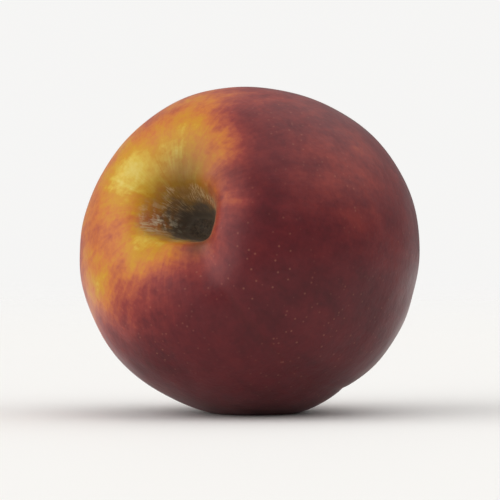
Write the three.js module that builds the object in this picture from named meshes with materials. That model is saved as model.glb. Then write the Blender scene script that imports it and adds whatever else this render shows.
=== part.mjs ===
// A single nectarine, picked, lying on its cheek on a table. Millimetres, +Z up, front towards -Y.
// The fruit grew as one piece, so it is one closed solid: an egg with broad shoulders, a deep stem
// cavity with the stalk's scar on its floor, the suture that runs from the cavity to the tip, a small
// point at the tip, and the small flat spot that it rests on.
import * as THREE from "three";

// Driving dimensions of the fruit in its own upright frame: Z along the stem axis, X towards the suture.
const WIDTH = 56.8; // across the cheeks, at the widest
const BODY_LENGTH = 58.5; // stem pole to tip pole, before the cavity is sunk
const BELLY_HEIGHT = 30; // tip pole to the widest ring

// The body's section: near 2 is an ellipse, and more is squarer.
const SHOULDER_FULLNESS = 2.35;
const TIP_FULLNESS = 2.0;
const CHEEK_SPREAD = 0.025; // share that the fruit is wider across the suture than along it

// The stem cavity: a wide mouth that is longer along the suture, and in it a steep squarish oval hole,
// off its middle.
const MOUTH_DEPTH = 4.6;
const MOUTH_RADIUS = 9;
const MOUTH_STRETCH = 0.12;
const HOLE_DEPTH = 9;
const HOLE_RADIUS = 4; // half of the oval's short way
const HOLE_STRETCH = 1.38; // its long way over its short way
const HOLE_TURN = (47 * Math.PI) / 180; // angle from the suture to its long way
const HOLE_STEEPNESS = 2.8;
const HOLE_SQUARENESS = 3.2; // 2 is an ellipse, and more has squarer corners
const HOLE_X = 0.5; // its middle, from the stem axis
const HOLE_Y = -0.2;

// The stalk's scar, a low disc on the cavity's floor.
const SCAR_RADIUS = 1.9;
const SCAR_HEIGHT = 0.7;
const SCAR_EDGE = 6; // how square the disc's edge is

// The suture: a notch where it crosses the rim of the cavity, then a shallow groove with soft lips.
const NOTCH_RADIUS = 10.5; // distance of the notch from the stem axis
const NOTCH_DEPTH = 2.2;
const NOTCH_LENGTH = 6;
const NOTCH_WIDTH = 4.2;
const SUTURE_DEPTH = 0.95;
const SUTURE_WIDTH = 4.2;
const SUTURE_BED = 1.5; // half width of the groove's rounded bottom
const DORSAL_DIP = 0.7; // the lesser dip in the rim, opposite the suture
const DORSAL_WIDTH = 6;

// The point at the tip, with the hollow round it.
const TIP_POINT_HEIGHT = 0.9;
const TIP_POINT_RADIUS = 2.6;
const TIP_HOLLOW_DEPTH = 0.9;
const TIP_HOLLOW_RADIUS = 6;

// How it lies: the way its stem end points, a way that the suture runs towards from there, and the
// height of its centre over the table.
const STEM_DIRECTION = new THREE.Vector3(-0.467, -0.811, 0.351).normalize();
const SUTURE_TOWARDS = new THREE.Vector3(0.155, -0.84, -0.52);
const CENTRE_HEIGHT = 27.0;

// Slow swells and slacks that keep the fruit from being a turned shape, each towards a side of it
// as it lies.
const SWELLS = [
  { towards: new THREE.Vector3(0.8, 0, 0.6), height: 1.0, breadth: 0.2 },
  { towards: new THREE.Vector3(-0.98, 0, 0.2), height: -0.8, breadth: 0.2 },
  { towards: new THREE.Vector3(-0.3, 0.2, -0.933), height: -1.6, breadth: 0.3 },
  { towards: new THREE.Vector3(0, -0.6, -0.8), height: 0.3, breadth: 0.15 },
];

// The flat spot rounds off into the skin over this height.
const FLAT_BLEND = 0.12;

// Facets: rings from the stem end to the tip, and meridians round the stem axis.
const MERIDIANS = 72;
const RINGS = 44;
const POLE_CROWDING = 0.11; // how much closer the rings lie at the two ends

// The turn from the fruit's upright frame to how it lies.
const SIDE_DIRECTION = new THREE.Vector3().crossVectors(STEM_DIRECTION, SUTURE_TOWARDS).normalize();
const SUTURE_DIRECTION = new THREE.Vector3().crossVectors(SIDE_DIRECTION, STEM_DIRECTION);
const TURN = new THREE.Matrix4().makeBasis(SUTURE_DIRECTION, SIDE_DIRECTION, STEM_DIRECTION);

const bell = (distance, width) => Math.exp(-((distance / width) ** 2));
const mix = (a, b, share) => a + (b - a) * share;

// Swelling of the skin in a direction from the fruit's centre, as it lies.
function swell(direction) {
  return SWELLS.reduce(
    (sum, { towards, height, breadth }) =>
      sum + height * Math.exp((direction.dot(towards) - 1) / breadth),
    0,
  );
}

// Depth of the suture's dent at a place on the body: polar is the angle from the stem axis.
function sutureDent(polar, radius, azimuth) {
  const across = radius * Math.sin(azimuth);
  const facing = Math.cos(azimuth);
  const rim = bell(radius - NOTCH_RADIUS, NOTCH_LENGTH);
  const notch = NOTCH_DEPTH * rim * bell(across, NOTCH_WIDTH);
  const dip = DORSAL_DIP * rim * bell(across, DORSAL_WIDTH);
  const bed = Math.hypot(across, SUTURE_BED);
  const groove = SUTURE_DEPTH * Math.sin(polar) * Math.exp(-bed / SUTURE_WIDTH);
  return facing > 0 ? facing * (notch + groove) : -facing * dip;
}

// Distance from the middle of the hole, the same all along the squarish oval's edge.
function fromHole(x, y) {
  const along = (x - HOLE_X) * Math.cos(HOLE_TURN) + (y - HOLE_Y) * Math.sin(HOLE_TURN);
  const across = (y - HOLE_Y) * Math.cos(HOLE_TURN) - (x - HOLE_X) * Math.sin(HOLE_TURN);
  const sides = [along / HOLE_STRETCH, across].map((side) => Math.abs(side) ** HOLE_SQUARENESS);
  return (sides[0] + sides[1]) ** (1 / HOLE_SQUARENESS);
}

// A point of the skin as the fruit lies, measured from its centre. The polar angle is from the stem
// axis, and the azimuth goes round it from the suture.
function skinPoint(polar, azimuth) {
  const halfWidth = WIDTH / 2;
  const upper = BODY_LENGTH - BELLY_HEIGHT;
  const fullness = mix(TIP_FULLNESS, SHOULDER_FULLNESS, (1 + Math.cos(polar)) / 2);
  const round = Math.sin(polar) ** (2 / fullness);
  const along = Math.abs(Math.cos(polar)) ** (2 / fullness) * Math.sign(Math.cos(polar));
  const radius = halfWidth * round * (1 + CHEEK_SPREAD * round * Math.sin(azimuth) ** 2);
  let height = along * (along > 0 ? upper : BELLY_HEIGHT);
  const x = radius * Math.cos(azimuth);
  const y = radius * Math.sin(azimuth);

  if (height > 0) {
    const stretch = 1 + MOUTH_STRETCH * Math.cos(2 * azimuth);
    height -= MOUTH_DEPTH * bell(radius, MOUTH_RADIUS * stretch);
    height -= HOLE_DEPTH * Math.exp(-((fromHole(x, y) / HOLE_RADIUS) ** HOLE_STEEPNESS));
    height += SCAR_HEIGHT * Math.exp(-((fromHole(x, y) / SCAR_RADIUS) ** SCAR_EDGE));
  } else {
    height += TIP_HOLLOW_DEPTH * bell(radius, TIP_HOLLOW_RADIUS);
    height -= TIP_POINT_HEIGHT * bell(radius, TIP_POINT_RADIUS);
  }

  const point = new THREE.Vector3(x, y, height).applyMatrix4(TURN);
  const direction = point.clone().normalize();
  return point.addScaledVector(direction, swell(direction) - sutureDent(polar, radius, azimuth));
}

// A height over the table with the fruit's weight on it: unchanged well above the table, zero where
// the skin would be below it, and rounded off in between.
function restOnTable(height) {
  if (height >= FLAT_BLEND) return height;
  if (height <= -FLAT_BLEND) return 0;
  return (height + FLAT_BLEND) ** 2 / (4 * FLAT_BLEND);
}

// Angle from the stem axis of a ring, with the rings closer together at the two ends.
function ringAngle(ring) {
  const share = ring / RINGS;
  return Math.PI * (share - POLE_CROWDING * Math.sin(2 * Math.PI * share));
}

function nectarineGeometry() {
  const positions = [];
  const faces = [];
  const addPoint = (polar, azimuth) => {
    const point = skinPoint(polar, azimuth);
    positions.push(point.x, point.y, restOnTable(point.z + CENTRE_HEIGHT));
  };

  addPoint(0, 0);
  for (let ring = 1; ring < RINGS; ring++) {
    for (let k = 0; k < MERIDIANS; k++) {
      addPoint(ringAngle(ring), (2 * Math.PI * k) / MERIDIANS);
    }
  }
  addPoint(Math.PI, 0);

  const tip = positions.length / 3 - 1;
  const vertex = (ring, k) => 1 + (ring - 1) * MERIDIANS + (k % MERIDIANS);
  for (let k = 0; k < MERIDIANS; k++) {
    faces.push(0, vertex(1, k), vertex(1, k + 1));
    for (let ring = 1; ring < RINGS - 1; ring++) {
      faces.push(vertex(ring, k), vertex(ring + 1, k), vertex(ring + 1, k + 1));
      faces.push(vertex(ring, k), vertex(ring + 1, k + 1), vertex(ring, k + 1));
    }
    faces.push(tip, vertex(RINGS - 1, k + 1), vertex(RINGS - 1, k));
  }

  const geometry = new THREE.BufferGeometry();
  geometry.setAttribute("position", new THREE.Float32BufferAttribute(positions, 3));
  geometry.setIndex(faces);
  geometry.computeBoundingBox();
  const middle = geometry.boundingBox.getCenter(new THREE.Vector3());
  geometry.translate(-middle.x, -middle.y, 0);
  geometry.computeVertexNormals();
  return geometry;
}

const skinMaterial = new THREE.MeshStandardMaterial({
  color: new THREE.Color().setRGB(0.45, 0.1, 0.11, THREE.SRGBColorSpace),
  roughness: 0.38,
  metalness: 0,
});

const nectarine = new THREE.Mesh(nectarineGeometry(), skinMaterial);
nectarine.name = "nectarine";

const fruit = new THREE.Group();
fruit.add(nectarine);

export default fruit;
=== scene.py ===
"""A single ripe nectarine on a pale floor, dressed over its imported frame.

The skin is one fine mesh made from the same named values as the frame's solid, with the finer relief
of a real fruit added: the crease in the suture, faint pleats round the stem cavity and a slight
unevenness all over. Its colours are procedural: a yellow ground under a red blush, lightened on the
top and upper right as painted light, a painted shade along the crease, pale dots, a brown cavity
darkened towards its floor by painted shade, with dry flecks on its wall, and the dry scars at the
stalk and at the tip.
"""

import math

import bpy
import numpy as np
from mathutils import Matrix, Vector


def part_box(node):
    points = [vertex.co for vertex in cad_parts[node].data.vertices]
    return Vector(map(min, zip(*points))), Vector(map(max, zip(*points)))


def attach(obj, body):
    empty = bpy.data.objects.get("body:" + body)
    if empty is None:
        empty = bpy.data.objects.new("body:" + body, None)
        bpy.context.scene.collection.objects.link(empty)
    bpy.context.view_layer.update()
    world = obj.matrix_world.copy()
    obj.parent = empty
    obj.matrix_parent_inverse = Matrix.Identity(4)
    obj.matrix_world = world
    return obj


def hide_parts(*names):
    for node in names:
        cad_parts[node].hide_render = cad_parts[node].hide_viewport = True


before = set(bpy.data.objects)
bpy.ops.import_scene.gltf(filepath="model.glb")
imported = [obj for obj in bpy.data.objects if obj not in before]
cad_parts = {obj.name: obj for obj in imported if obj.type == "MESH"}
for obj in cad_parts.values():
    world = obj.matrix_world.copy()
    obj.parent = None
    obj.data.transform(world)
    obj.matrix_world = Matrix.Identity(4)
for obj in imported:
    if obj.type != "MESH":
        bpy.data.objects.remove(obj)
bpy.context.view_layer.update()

MM = 0.001

# The body, in millimetres, with the same values as the frame's solid. Upright, its Z runs along the
# stem axis and its X points towards the suture.
WIDTH = 56.8
BODY_LENGTH = 58.5
BELLY_HEIGHT = 30.0
SHOULDER_FULLNESS = 2.35
TIP_FULLNESS = 2.0
CHEEK_SPREAD = 0.025

# The stem cavity: a wide mouth, in it a steep squarish hole, and the stalk's scar on its floor.
MOUTH_DEPTH = 4.6
MOUTH_RADIUS = 9.0
MOUTH_STRETCH = 0.12
HOLE_DEPTH = 9.0
HOLE_RADIUS = 4.0
HOLE_STRETCH = 1.38
HOLE_TURN = math.radians(47)
HOLE_STEEPNESS = 2.8
HOLE_SQUARENESS = 3.2
HOLE_X = 0.5
HOLE_Y = -0.2
SCAR_RADIUS = 1.9
SCAR_HEIGHT = 0.7
SCAR_EDGE = 6

# The suture: its notch in the cavity's rim, its groove, and the lesser dip in the rim opposite.
NOTCH_RADIUS = 10.5
NOTCH_DEPTH = 2.2
NOTCH_LENGTH = 6.0
NOTCH_WIDTH = 4.2
SUTURE_DEPTH = 0.95
SUTURE_WIDTH = 4.2
SUTURE_BED = 1.5
DORSAL_DIP = 0.7
DORSAL_WIDTH = 6.0

# The point at the tip, with the hollow round it.
TIP_POINT_HEIGHT = 0.9
TIP_POINT_RADIUS = 2.6
TIP_HOLLOW_DEPTH = 0.9
TIP_HOLLOW_RADIUS = 6.0

# How it lies: the way its stem end points, a way that the suture runs towards from there, the height
# of its centre over the table, and the height over which the flat spot rounds off into the skin.
STEM_TOWARDS = np.array([-0.467, -0.811, 0.351])
SUTURE_TOWARDS = np.array([0.155, -0.84, -0.52])
CENTRE_HEIGHT = 27.0
FLAT_BLEND = 0.12

# Slow swells and slacks: the way each faces as the fruit lies, its rise and its breadth.
SWELLS = [
    ((0.8, 0.0, 0.6), 1.0, 0.2),
    ((-0.98, 0.0, 0.2), -0.8, 0.2),
    ((-0.3, 0.2, -0.933), -1.6, 0.3),
    ((0.0, -0.6, -0.8), 0.3, 0.15),
]

# The fine mesh: rings from the stem end to the tip, and meridians that crowd at the suture. Its box
# is a little smaller than the solid's.
MERIDIANS = 384
RINGS = 236
POLE_CROWDING = 0.11
SUTURE_CROWDING = 0.62
FIT_SHARE = 0.9995

# Fine relief, in millimetres: the suture's crease, the pleats round the cavity, and the unevenness
# of the whole skin, which is its standard deviation, with the shortest and longest of its waves.
CREASE_DEPTH = 0.14
CREASE_WIDTH = 0.8
CREASE_WANDER = 0.35
PLEAT_HEIGHT = 0.07
PLEAT_RADIUS = 7.5
PLEAT_LENGTH = 3.2
UNEVENNESS = 0.07
UNEVEN_WAVES = 48
UNEVEN_LENGTHS = (8.0, 24.0)
UNEVEN_SEED = 5

# The crease's bends on its way to the tip: how fast each one swings, its phase and its share. The
# crease starts between two angles from the stem axis, and fades out over an angle before the tip.
CREASE_BENDS = [(3.1, 0.4, 1.0), (7.3, 0.0, 0.5)]
CREASE_STARTS = (0.45, 0.9)
CREASE_FADE = 0.12

# The pleats: how many go round the cavity, their twist for each millimetre from the stem axis, their
# phase and their share.
PLEATS = [(11, 0.35, 0.0, 1.0), (17, -0.2, 1.3, 0.7)]

# Tints and painted shade at the hole, in millimetres: the middle of each from the stem axis, and its
# reach. They are the brown over the hole, partly painted shade on the cavity's upper wall, the painted
# shade on its lower lip, and the dry flecks at its left end.
TINT_AND_SHADE_PLACES = {
    "funnel": (-4.0, 2.8, 6.2),
    "lip": (7.9, -0.3, 2.5),
    "flecks": (-2.4, -4.9, 1.8),
}
TIP_SCAR_RADIUS = 1.1

# How fast streaks change along their own way: down the fruit, and down the wall of the hole.
GRAIN_PITCH = 0.18
SPOKE_PITCH = 0.08

# Places where the ground colour shows through the blush: the way they face as the fruit lies, their
# reach as a share of the fruit's radius, and how much of the blush they take away. The last two are
# painted light: they lighten the blush on the top and upper right, where the light from above falls.
GROUND_AND_TOP_LIGHT_PLACES = [
    ((-0.38, -0.55, 0.74), 0.25, 0.65),
    ((-0.69, -0.48, 0.55), 0.33, 0.97),
    ((-0.42, -0.78, 0.47), 0.26, 0.80),
    ((-0.24, -0.24, 0.94), 0.26, 0.64),
    ((-0.66, -0.02, 0.75), 0.28, 0.66),
    ((-0.60, -0.79, 0.12), 0.23, 0.86),
    ((-0.85, -0.50, -0.09), 0.30, 0.68),
    ((-0.95, -0.12, 0.32), 0.42, 0.58),
    ((-0.38, -0.92, 0.15), 0.24, 0.32),
    ((-0.09, -0.92, 0.38), 0.10, 0.32),
    ((-0.12, -0.72, 0.68), 0.15, 0.42),
    ((-0.92, -0.12, -0.36), 0.26, 0.50),
    ((-0.66, -0.70, -0.26), 0.24, 0.28),
    ((-0.75, 0.60, 0.25), 0.38, 0.50),
    ((0.10, 0.85, -0.50), 0.30, 0.42),
    ((0.47, 0.81, -0.35), 0.10, 0.30),
    # Painted light: these last two lighten the blush on the top and upper right, where the light from
    # above falls.
    ((0.62, -0.58, 0.53), 0.44, 0.20),
    ((0.18, -0.36, 0.92), 0.30, 0.19),
]
GROUND_EDGE = 2.2


def bell(distance, width):
    return np.exp(-((distance / width) ** 2))


def mix(a, b, share):
    return a + (b - a) * share


def unit(vector):
    return vector / np.linalg.norm(vector, axis=-1, keepdims=True)


def smoothstep(low, high, value):
    share = np.clip((value - low) / (high - low), 0, 1)
    return share * share * (3 - 2 * share)


def waves(points, count, lengths, seed):
    """A smooth uneven field over points, of many plane waves, with a standard deviation of about 1."""
    rng = np.random.default_rng(seed)
    total = np.zeros(len(points))
    for _ in range(count):
        towards = unit(rng.normal(size=3))
        length = rng.uniform(*lengths)
        phase = rng.uniform(0, 2 * math.pi)
        total += np.sin(2 * math.pi * (points @ towards) / length + phase)
    return total / math.sqrt(count / 2)


def body_section(polar, azimuth):
    """Distance from the stem axis and height of the plain body, before the cavity is sunk in it."""
    fullness = mix(TIP_FULLNESS, SHOULDER_FULLNESS, (1 + np.cos(polar)) / 2)
    around = np.sin(polar) ** (2 / fullness)
    along = np.abs(np.cos(polar)) ** (2 / fullness) * np.sign(np.cos(polar))
    radius = WIDTH / 2 * around * (1 + CHEEK_SPREAD * around * np.sin(azimuth) ** 2)
    height = along * np.where(along > 0, BODY_LENGTH - BELLY_HEIGHT, BELLY_HEIGHT)
    return radius, height


def hole_distance(x, y):
    """Distance from the middle of the hole, the same all along the squarish oval's edge."""
    along = (x - HOLE_X) * math.cos(HOLE_TURN) + (y - HOLE_Y) * math.sin(HOLE_TURN)
    across = (y - HOLE_Y) * math.cos(HOLE_TURN) - (x - HOLE_X) * math.sin(HOLE_TURN)
    sides = np.abs(np.stack([along / HOLE_STRETCH, across]))
    return (sides**HOLE_SQUARENESS).sum(0) ** (1 / HOLE_SQUARENESS)


def suture_dent(polar, radius, azimuth):
    """Depth of the notch in the cavity's rim, the dip opposite it, and the suture's groove."""
    across = radius * np.sin(azimuth)
    facing = np.cos(azimuth)
    rim = bell(radius - NOTCH_RADIUS, NOTCH_LENGTH)
    notch = NOTCH_DEPTH * rim * bell(across, NOTCH_WIDTH)
    dip = DORSAL_DIP * rim * bell(across, DORSAL_WIDTH)
    bed = np.hypot(across, SUTURE_BED)
    groove = SUTURE_DEPTH * np.sin(polar) * np.exp(-bed / SUTURE_WIDTH)
    return np.where(facing > 0, facing * (notch + groove), -facing * dip)


def crease_line(polar, radius, azimuth):
    """Share of the thin crease that runs in the suture's bed, 1 on its line."""
    bends = sum(share * np.sin(rate * polar + phase) for rate, phase, share in CREASE_BENDS)
    across = radius * np.sin(azimuth) - CREASE_WANDER * bends
    ends = smoothstep(*CREASE_STARTS, polar) * smoothstep(math.pi, math.pi - CREASE_FADE, polar)
    return np.where(np.cos(azimuth) > 0, bell(across, CREASE_WIDTH), 0) * ends


def pleat_rise(radius, azimuth):
    """Rise of the faint pleats round the cavity."""
    pleats = sum(
        share * np.sin(count * azimuth + twist * radius + phase)
        for count, twist, phase, share in PLEATS
    )
    return PLEAT_HEIGHT * pleats * bell(radius - PLEAT_RADIUS, PLEAT_LENGTH)


def swell_rise(outward):
    """Rise of the slow swells and slacks, from the way each point of the skin faces."""
    rise = np.zeros(len(outward))
    for towards, height, breadth in SWELLS:
        rise += height * np.exp((outward @ np.array(towards) - 1) / breadth)
    return rise


def ground_and_top_light_share(outward):
    """Share of the ground colour that shows, with painted light that lightens the blush on the top,
    from the way each point of the skin faces.
    """
    covered = np.ones(len(outward))
    for towards, reach, amount in GROUND_AND_TOP_LIGHT_PLACES:
        distance = np.linalg.norm(outward - unit(np.array(towards)), axis=1)
        covered *= 1 - amount * np.exp(-((distance / reach) ** GROUND_EDGE))
    return 1 - covered


def laid_down(upright):
    """Points turned from the fruit's upright frame to how it lies."""
    stem = unit(STEM_TOWARDS)
    side = unit(np.cross(stem, SUTURE_TOWARDS))
    return upright @ np.array([np.cross(side, stem), side, stem])


def streak_space(angle, along):
    """Coordinates for streaks: a circle, so that they join all round, and the way along them."""
    return np.stack([np.cos(angle), np.sin(angle), along], -1)


def fruit_skin(polar, azimuth):
    """The skin's points as the fruit lies, from its centre, and the fields that its colours use."""
    radius, height = body_section(polar, azimuth)
    top = height > 0
    x = radius * np.cos(azimuth)
    y = radius * np.sin(azimuth)
    from_hole = hole_distance(x, y)
    hole = np.exp(-((from_hole / HOLE_RADIUS) ** HOLE_STEEPNESS))
    scar = np.exp(-((from_hole / SCAR_RADIUS) ** SCAR_EDGE))
    stretch = 1 + MOUTH_STRETCH * np.cos(2 * azimuth)
    cavity = MOUTH_DEPTH * bell(radius, MOUTH_RADIUS * stretch) + HOLE_DEPTH * hole
    point = TIP_POINT_HEIGHT * bell(radius, TIP_POINT_RADIUS)
    hollow = TIP_HOLLOW_DEPTH * bell(radius, TIP_HOLLOW_RADIUS)
    height += np.where(top, SCAR_HEIGHT * scar - cavity, hollow - point)

    upright = np.stack([x, y, height], -1)
    points = laid_down(upright)
    outward = unit(points)
    crease = crease_line(polar, radius, azimuth)
    lift = swell_rise(outward) - suture_dent(polar, radius, azimuth) - CREASE_DEPTH * crease
    lift += pleat_rise(radius, azimuth) * top
    lift += UNEVENNESS * waves(upright, UNEVEN_WAVES, UNEVEN_LENGTHS, UNEVEN_SEED)

    round_hole = np.arctan2(y - HOLE_Y, x - HOLE_X)
    fields = {
        "crease": crease,
        "hole": np.where(top, hole, 0),
        "scar": np.where(top, scar, 0),
        "tip": np.where(top, 0, bell(radius, TIP_SCAR_RADIUS)),
        "ground_and_top_light": ground_and_top_light_share(outward),
        "grain": streak_space(azimuth, GRAIN_PITCH * polar),
        "spokes": streak_space(round_hole, SPOKE_PITCH * from_hole),
    }
    for name, (middle_x, middle_y, reach) in TINT_AND_SHADE_PLACES.items():
        fields[name] = np.where(top, bell(np.hypot(x - middle_x, y - middle_y), reach), 0)
    return points + outward * lift[:, None], fields


def rest_on_table(height):
    """A height with the fruit's weight on the table, rounded off round the flat spot."""
    rounded = (height + FLAT_BLEND) ** 2 / (4 * FLAT_BLEND)
    return np.where(height >= FLAT_BLEND, height, np.where(height <= -FLAT_BLEND, 0, rounded))


def place_in_frame(points):
    """Moves the fine skin to where the frame's solid is, and keeps it inside the solid's box."""
    low, high = (np.array(corner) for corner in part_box("nectarine"))
    own_low, own_high = points.min(0), points.max(0)
    scale = np.minimum(1, (high - low) / (own_high - own_low)) * FIT_SHARE
    placed = points * scale
    centre = (placed.min(0) + placed.max(0)) / 2
    shift = (low + high) / 2 - centre
    shift[2] = low[2] - placed[:, 2].min()
    return placed + shift


def ring_angles(rings):
    share = np.arange(rings + 1) / rings
    return math.pi * (share - POLE_CROWDING * np.sin(2 * math.pi * share))


def meridian_angles(meridians):
    even = 2 * math.pi * np.arange(meridians) / meridians
    return even - SUTURE_CROWDING * np.sin(even)


def grid_faces(rings, meridians):
    """Faces of a closed grid with one vertex at each pole, wound to face outward."""
    tip = 1 + (rings - 1) * meridians
    last = tip - meridians
    faces = []
    for k in range(meridians):
        after = (k + 1) % meridians
        faces.append((0, 1 + k, 1 + after))
        faces.append((tip, last + after, last + k))
        for ring in range(rings - 2):
            here = 1 + ring * meridians
            below = here + meridians
            faces.append((here + k, below + k, below + after, here + after))
    return faces


def add_field(mesh, name, values):
    """Puts a number or a vector for each vertex on the mesh, for its material."""
    vector = values.ndim == 2
    kind = "FLOAT_VECTOR" if vector else "FLOAT"
    attribute = mesh.attributes.new(name, kind, "POINT")
    attribute.data.foreach_set("vector" if vector else "value", values.astype(np.float32).ravel())


def add_object(name, data):
    thing = bpy.data.objects.new(name, data)
    bpy.context.scene.collection.objects.link(thing)
    return thing


def make_skin():
    rings, meridians = ring_angles(RINGS), meridian_angles(MERIDIANS)
    polar = np.concatenate([[0.0], np.repeat(rings[1:-1], MERIDIANS), [math.pi]])
    azimuth = np.concatenate([[0.0], np.tile(meridians, RINGS - 1), [0.0]])
    points, fields = fruit_skin(polar, azimuth)
    points[:, 2] = rest_on_table(points[:, 2] + CENTRE_HEIGHT)
    points = place_in_frame(points * MM)

    mesh = bpy.data.meshes.new("nectarine_skin")
    mesh.from_pydata(points.tolist(), [], grid_faces(RINGS, MERIDIANS))
    mesh.shade_smooth()
    for name, values in fields.items():
        add_field(mesh, name, values)
    return add_object("nectarine_skin", mesh)


# The middle that a wave takes off its noise, and the noise's roughness.
NOISE_MIDDLE = 0.5
WAVE_ROUGHNESS = 0.58


class Nodes:
    """A short way to write the nodes of a material or a world."""

    def __init__(self, owner):
        owner.use_nodes = True
        self.tree = owner.node_tree
        self.tree.nodes.clear()

    def add(self, kind, inputs=None, **settings):
        node = self.tree.nodes.new(kind)
        for name, value in settings.items():
            setattr(node, name, value)
        for key, value in (inputs or {}).items():
            self.set(node.inputs[key], value)
        return node

    def set(self, socket, value):
        if isinstance(value, bpy.types.NodeSocket):
            self.tree.links.new(value, socket)
        else:
            socket.default_value = value

    def place(self):
        """The place on an object, in metres, so that a noise's scale is per metre."""
        return self.add("ShaderNodeTexCoord").outputs["Object"]

    def field(self, name, vector=False):
        node = self.add("ShaderNodeAttribute", attribute_name=name)
        return node.outputs["Vector" if vector else "Fac"]

    def math(self, operation, a, b, clamp=False):
        node = self.add("ShaderNodeMath", {0: a, 1: b}, operation=operation, use_clamp=clamp)
        return node.outputs[0]

    def combined(self, operation, values):
        total = values[0]
        for value in values[1:]:
            total = self.math(operation, total, value)
        return total

    def sum(self, *values):
        return self.combined("ADD", values)

    def product(self, *values):
        return self.combined("MULTIPLY", values)

    def inverse(self, share):
        return self.math("SUBTRACT", 1.0, share)

    def mapped(self, value, low, high, to_low=0.0, to_high=1.0):
        """A value from low to high turned into one from to_low to to_high, with soft ends."""
        inputs = {0: value, 1: low, 2: high, 3: to_low, 4: to_high}
        node = self.add("ShaderNodeMapRange", inputs, interpolation_type="SMOOTHSTEP")
        return node.outputs[0]

    def noise(self, vector, scale, detail=2.0, roughness=0.5):
        inputs = {"Vector": vector, "Scale": scale, "Detail": detail, "Roughness": roughness}
        return self.add("ShaderNodeTexNoise", inputs).outputs["Fac"]

    def wave(self, vector, scale, detail, amount):
        """A noise round zero, which reaches about half the amount either way."""
        noise = self.noise(vector, scale, detail, WAVE_ROUGHNESS)
        return self.product(self.math("SUBTRACT", noise, NOISE_MIDDLE), amount)

    def blend(self, share, a, b):
        node = self.add("ShaderNodeMix", data_type="RGBA")
        self.set(node.inputs["Factor"], share)
        self.set(node.inputs["A"], a)
        self.set(node.inputs["B"], b)
        return node.outputs["Result"]

    def ramp(self, share, stops):
        node = self.add("ShaderNodeValToRGB", {0: share})
        elements = node.color_ramp.elements
        for element, (position, value) in zip(elements, (stops[0], stops[-1])):
            element.position = position
            element.color = colour(value)
        for position, value in stops[1:-1]:
            elements.new(position).color = colour(value)
        return node.outputs["Color"]

    def output(self, shader, kind="ShaderNodeOutputMaterial"):
        self.add(kind, {"Surface": shader})


def colour(srgb):
    """A colour for Blender, by the sRGB curve, from three numbers from 0 to 255."""
    shares = [value / 255 for value in srgb]
    linear = [s / 12.92 if s <= 0.04045 else ((s + 0.055) / 1.055) ** 2.4 for s in shares]
    return (*linear, 1.0)


# In the values of the looks, a noise is its scale, detail and roughness, a wave is its scale, detail
# and amount, and a range is two values and what they are turned into. Lengths are in metres.

# The skin's colours from bare ground to full blush.
BLUSH_STOPS = [
    (0.00, (206, 184, 92)),
    (0.06, (200, 168, 58)),
    (0.16, (190, 136, 16)),
    (0.34, (188, 106, 42)),
    (0.50, (164, 76, 48)),
    (0.66, (134, 48, 42)),
    (0.82, (106, 31, 33)),
    (0.93, (88, 21, 27)),
    (1.00, (74, 16, 22)),
]

# The waves of the blush's uneven edge and mottling. The streaks run down the fruit, and the mottles
# lie the same every way. Their pattern is faint in plain blush and strong at its edge.
STREAKS = [(8.0, 3.0, 0.34), (24.0, 2.0, 0.16)]
MOTTLES = [(85.0, 4.0, 0.80), (340.0, 3.0, 0.32), (1150.0, 2.0, 0.30)]
PATTERN_IN_BLUSH = 0.27
PATTERN_AT_EDGE = 2.3
FULL_BLUSH = 0.94


def blush_share(nodes, place):
    """How far the blush covers the ground colour, from 0 to 1, with its pattern."""
    ground_and_top_light = nodes.field("ground_and_top_light")
    blush = nodes.inverse(ground_and_top_light)
    edge = nodes.product(ground_and_top_light, blush)
    reach = nodes.sum(nodes.product(edge, PATTERN_AT_EDGE), PATTERN_IN_BLUSH)
    grain = nodes.field("grain", vector=True)
    pattern = [nodes.wave(grain, *streak) for streak in STREAKS]
    pattern += [nodes.wave(place, *mottle) for mottle in MOTTLES]
    uneven = nodes.product(nodes.sum(*pattern), reach)
    return nodes.math("ADD", uneven, nodes.product(blush, FULL_BLUSH), clamp=True)


# The pale dots: cells per metre, the soft edge of a dot in its cell, how much of it shows from the
# ground to the full blush, and the patches where the dots stand.
DOT_SCALE = 760.0
DOT_RANGE = (0.03, 0.22, 1.0, 0.0)
DOT_SHOWN_RANGE = (0.35, 0.8, 0.04, 0.19)
DOT_PATCH_SCALE = 60.0
DOT_PATCH_RANGE = (0.36, 0.68, 0.1, 1.0)
DOT_COLOUR = (205, 140, 112)


def add_dots(nodes, place, blush, skin):
    """Fine pale dots, here and there, that show most on the blush."""
    cells = nodes.add("ShaderNodeTexVoronoi", {"Vector": place, "Scale": DOT_SCALE})
    dots = nodes.mapped(cells.outputs["Distance"], *DOT_RANGE)
    shown = nodes.mapped(blush, *DOT_SHOWN_RANGE)
    patches = nodes.mapped(nodes.noise(place, DOT_PATCH_SCALE), *DOT_PATCH_RANGE)
    return nodes.blend(nodes.product(dots, shown, patches), skin, colour(DOT_COLOUR))


# The cavity's tints and painted shade, which lie over each other in this order: the brown over the
# hole, partly painted shade on its upper wall; a painted shade in a halo round the hole; the painted
# shade on its lower lip; and the painted shade of the dark inside.
HOLE_EDGE_WAVE = (420.0, 3.0, 4.5)
FUNNEL_BROWN_AND_SHADE_AMOUNT = 0.88
FUNNEL_BROWN_AND_SHADE_COLOUR = (114, 76, 22)
HALO_SHADE_RANGE = (0.04, 0.26, 0.0, 0.36)
HALO_SHADE_COLOUR = (116, 78, 50)
LIP_SHADE_AMOUNT = 0.8
LIP_SHADE_COLOUR = (94, 52, 34)
HOLE_SHADE_RANGE = (0.28, 0.7, 0.0, 0.95)
HOLE_SHADE_COLOUR = (82, 74, 64)

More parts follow.
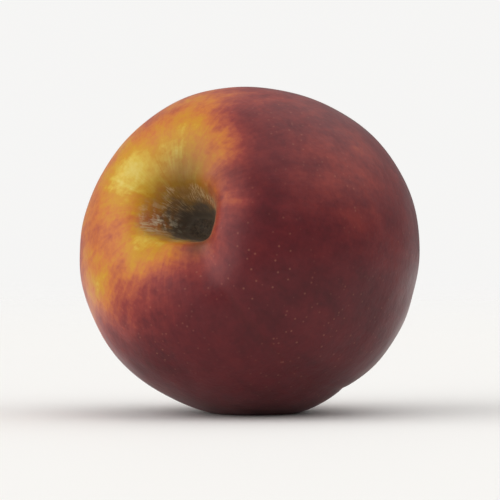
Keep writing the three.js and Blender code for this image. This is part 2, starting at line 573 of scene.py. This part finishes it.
# The dry russet on the hole's wall, in fibres and patches from its rim to its floor, and the pale
# flecks at the hole's left end.
FIBRE_NOISE = (22.0, 3.0, 0.65)
RUSSET_FIBRE_RANGE = (0.46, 0.6, 0.06, 0.9)
RUSSET_RIM_RANGE = (0.04, 0.25, 0.0, 1.0)
RUSSET_FLOOR_RANGE = (0.35, 0.85, 1.0, 0.0)
RUSSET_PATCH_SCALE = 300.0
RUSSET_PATCH_RANGE = (0.4, 0.62, 0.12, 0.9)
RUSSET_COLOUR = (182, 156, 116)
FLECK_NOISE = (850.0, 4.0, 0.5)
FLECK_RANGE = (0.44, 0.64, 0.0, 0.95)
FLECK_FIBRE_RANGE = (0.36, 0.6, 0.15, 1.0)
FLECK_COLOUR = (208, 200, 172)


def ragged_hole(nodes, place):
    """How deep a place lies in the hole, from 0 to 1, with an uneven edge for the tints and painted
    shade there.
    """
    hole = nodes.field("hole")
    edge = nodes.product(hole, nodes.inverse(hole))
    return nodes.sum(hole, nodes.product(edge, nodes.wave(place, *HOLE_EDGE_WAVE)))


def russet_share(nodes, place, hole, fibres):
    return nodes.product(
        nodes.mapped(fibres, *RUSSET_FIBRE_RANGE),
        nodes.mapped(hole, *RUSSET_RIM_RANGE),
        nodes.mapped(hole, *RUSSET_FLOOR_RANGE),
        nodes.mapped(nodes.noise(place, RUSSET_PATCH_SCALE), *RUSSET_PATCH_RANGE),
    )


def fleck_share(nodes, place, fibres):
    return nodes.product(
        nodes.mapped(nodes.noise(place, *FLECK_NOISE), *FLECK_RANGE),
        nodes.mapped(fibres, *FLECK_FIBRE_RANGE),
        nodes.field("flecks"),
    )


def add_cavity(nodes, place, skin):
    """The cavity goes brown, partly as painted shade, then dark towards the stalk's scar as painted
    shade, with dry russet on its wall.
    """
    hole = ragged_hole(nodes, place)
    fibres = nodes.noise(nodes.field("spokes", vector=True), *FIBRE_NOISE)
    # The brown over the hole is partly painted shade; the halo, the lip's shade and the dark inside
    # are painted shade.
    layers = [
        (nodes.product(nodes.field("funnel"), FUNNEL_BROWN_AND_SHADE_AMOUNT), FUNNEL_BROWN_AND_SHADE_COLOUR),
        (nodes.mapped(hole, *HALO_SHADE_RANGE), HALO_SHADE_COLOUR),
        (nodes.product(nodes.field("lip"), LIP_SHADE_AMOUNT), LIP_SHADE_COLOUR),
        (nodes.mapped(hole, *HOLE_SHADE_RANGE), HOLE_SHADE_COLOUR),
        (russet_share(nodes, place, hole, fibres), RUSSET_COLOUR),
        (fleck_share(nodes, place, fibres), FLECK_COLOUR),
    ]
    for share, tint in layers:
        skin = nodes.blend(share, skin, colour(tint))
    return skin


# The dry, fibrous scars: bark where the stalk was, and a husk on the point at the tip.
SCAR_NOISE = (2600.0, 3.0, 0.7)
BARK_STOPS = [(0.3, (38, 30, 24)), (0.7, (92, 76, 58))]
BARK_RANGE = (0.3, 0.7, 0.0, 0.9)
HUSK_STOPS = [(0.3, (62, 34, 24)), (0.7, (128, 82, 52))]
HUSK_RANGE = (0.3, 0.8, 0.0, 0.85)


def add_scars(nodes, place, skin):
    """The dry scar where the stalk was, and the dry point at the tip."""
    fibres = nodes.noise(place, *SCAR_NOISE)
    scars = [("scar", BARK_RANGE, BARK_STOPS), ("tip", HUSK_RANGE, HUSK_STOPS)]
    for field, edge, stops in scars:
        share = nodes.mapped(nodes.field(field), *edge)
        skin = nodes.blend(share, skin, nodes.ramp(fibres, stops))
    return skin


# The painted shade along the suture's crease, the skin's roughness with how much duller it is in the
# hole, and its dimples and pores.
CREASE_SHADE_AMOUNT = 0.3
CREASE_SHADE_COLOUR = (78, 20, 20)
GLOSS_NOISE = (90.0, 3.0, 0.5)
GLOSS_RANGE = (0.3, 0.7, 0.34, 0.44)
DULL_RANGE = (0.05, 0.5, 0.0, 0.3)
DIMPLE_NOISE = (260.0, 3.0, 0.5)
PORE_SCALE = 1900.0
PORE_SHARE = 0.16
BUMP_HEIGHT = 0.00016
SCATTER_LENGTH = 0.0018
SHEEN_COLOUR = (255, 214, 214)


def skin_colour(nodes, place):
    blush = blush_share(nodes, place)
    skin = nodes.ramp(blush, BLUSH_STOPS)
    # A darker line along the suture's crease: painted shade.
    crease = nodes.product(nodes.field("crease"), CREASE_SHADE_AMOUNT)
    skin = nodes.blend(crease, skin, colour(CREASE_SHADE_COLOUR))
    skin = add_dots(nodes, place, blush, skin)
    skin = add_cavity(nodes, place, skin)
    return add_scars(nodes, place, skin)


def skin_roughness(nodes, place):
    gloss = nodes.mapped(nodes.noise(place, *GLOSS_NOISE), *GLOSS_RANGE)
    return nodes.sum(gloss, nodes.mapped(nodes.field("hole"), *DULL_RANGE))


def skin_bump(nodes, place):
    pores = nodes.product(nodes.noise(place, PORE_SCALE), PORE_SHARE)
    relief = nodes.sum(nodes.noise(place, *DIMPLE_NOISE), pores)
    bump = nodes.add(
        "ShaderNodeBump", {"Height": relief, "Strength": 1.0, "Distance": BUMP_HEIGHT}
    )
    return bump.outputs["Normal"]


def skin_material():
    material = bpy.data.materials.new("nectarine_skin")
    nodes = Nodes(material)
    place = nodes.place()
    shader = nodes.add(
        "ShaderNodeBsdfPrincipled",
        {
            "Base Color": skin_colour(nodes, place),
            "Roughness": skin_roughness(nodes, place),
            "IOR": 1.45,
            "Subsurface Weight": 0.12,
            "Subsurface Radius": (1.0, 0.35, 0.15),
            "Subsurface Scale": SCATTER_LENGTH,
            "Specular IOR Level": 0.3,
            "Sheen Weight": 0.04,
            "Sheen Roughness": 0.45,
            "Sheen Tint": colour(SHEEN_COLOUR),
            "Normal": skin_bump(nodes, place),
        },
    )
    nodes.output(shader.outputs["BSDF"])
    return material


# The floor reaches a metre each way, and fades out between two distances from the fruit.
FLOOR_REACH = 1.0
FLOOR_FADE = (0.22, 0.7)
FLOOR_COLOUR = (240, 239, 237)


def floor_material():
    material = bpy.data.materials.new("floor")
    nodes = Nodes(material)
    paper = nodes.add(
        "ShaderNodeBsdfPrincipled",
        {"Base Color": colour(FLOOR_COLOUR), "Roughness": 0.7, "IOR": 1.3},
    )
    clear = nodes.add("ShaderNodeBsdfTransparent")
    distance = nodes.add("ShaderNodeVectorMath", {0: nodes.place()}, operation="LENGTH")
    fade = nodes.mapped(distance.outputs["Value"], *FLOOR_FADE)
    shaders = {0: fade, 1: paper.outputs["BSDF"], 2: clear.outputs["BSDF"]}
    nodes.output(nodes.add("ShaderNodeMixShader", shaders).outputs["Shader"])
    return material


def make_floor():
    """A pale floor that fades into the pale surroundings far from the fruit."""
    corners = [(x * FLOOR_REACH, y * FLOOR_REACH, 0) for x, y in ((-1, -1), (1, -1), (1, 1), (-1, 1))]
    mesh = bpy.data.meshes.new("floor")
    mesh.from_pydata(corners, [], [(0, 1, 2, 3)])
    mesh.materials.append(floor_material())
    floor = add_object("floor", mesh)


# The studio's soft lights, which have no edges: the way each lies from the fruit, how far it spreads
# in degrees, and its strength.
SOFT_LIGHTS = [
    ((0.40, 0.00, 0.92), 60, 1.1),
    ((-0.86, -0.30, 0.42), 52, 1.95),
]
AROUND_STRENGTH = 0.40
BACKDROP_STRENGTH = 0.92
LIGHT_COLOUR = (1.0, 0.995, 0.985, 1.0)


def soft_light(nodes, towards, direction, spread, power):
    """Strength of one soft light in each direction of the surroundings."""
    facing = nodes.add(
        "ShaderNodeVectorMath",
        {0: towards, 1: Vector(direction).normalized()},
        operation="DOT_PRODUCT",
    )
    edge = math.cos(math.radians(spread))
    return nodes.mapped(facing.outputs["Value"], edge, 1.0, 0.0, power)


def make_surroundings():
    """Pale studio surroundings: a bright backdrop, and soft light from above and from the left."""
    world = bpy.data.worlds.new("studio")
    bpy.context.scene.world = world
    nodes = Nodes(world)
    towards = nodes.add("ShaderNodeTexCoord").outputs["Generated"]
    lights = [soft_light(nodes, towards, *light) for light in SOFT_LIGHTS]
    strengths = [nodes.sum(AROUND_STRENGTH, *lights), BACKDROP_STRENGTH]
    around, backdrop = [
        nodes.add("ShaderNodeBackground", {"Color": LIGHT_COLOUR, "Strength": strength}).outputs[0]
        for strength in strengths
    ]
    seen = nodes.add("ShaderNodeLightPath").outputs["Is Camera Ray"]
    choose = nodes.add("ShaderNodeMixShader", {0: seen, 1: around, 2: backdrop})
    nodes.output(choose.outputs[0], "ShaderNodeOutputWorld")


# The camera: its distance from the fruit's middle in metres, its elevation in degrees, the share of
# the picture's width that the fruit takes, its sensor in millimetres, and how near and far it sees.
CAMERA_DISTANCE = 0.8
CAMERA_ELEVATION = 1.5
FRAME_SHARE = 0.68
SENSOR_WIDTH = 36
CAMERA_CLIP = (0.01, 20)


def make_camera():
    """The photo's view: level with the fruit, through a long lens."""
    low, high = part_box("nectarine")
    centre = (low + high) / 2
    width = high.x - low.x
    data = bpy.data.cameras.new("camera")
    data.sensor_width = SENSOR_WIDTH
    data.lens = SENSOR_WIDTH * CAMERA_DISTANCE * FRAME_SHARE / width
    data.clip_start, data.clip_end = CAMERA_CLIP
    camera = add_object("camera", data)
    elevation = math.radians(CAMERA_ELEVATION)
    back = Vector((0, -math.cos(elevation), math.sin(elevation)))
    camera.location = centre + back * CAMERA_DISTANCE
    direction = centre - camera.location
    camera.rotation_euler = direction.to_track_quat("-Z", "Y").to_euler()
    bpy.context.scene.camera = camera


skin = make_skin()
skin.data.materials.append(skin_material())
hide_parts("nectarine")
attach(skin, "root")

make_floor()
make_surroundings()
make_camera()
bpy.context.scene.view_settings.view_transform = "Standard"
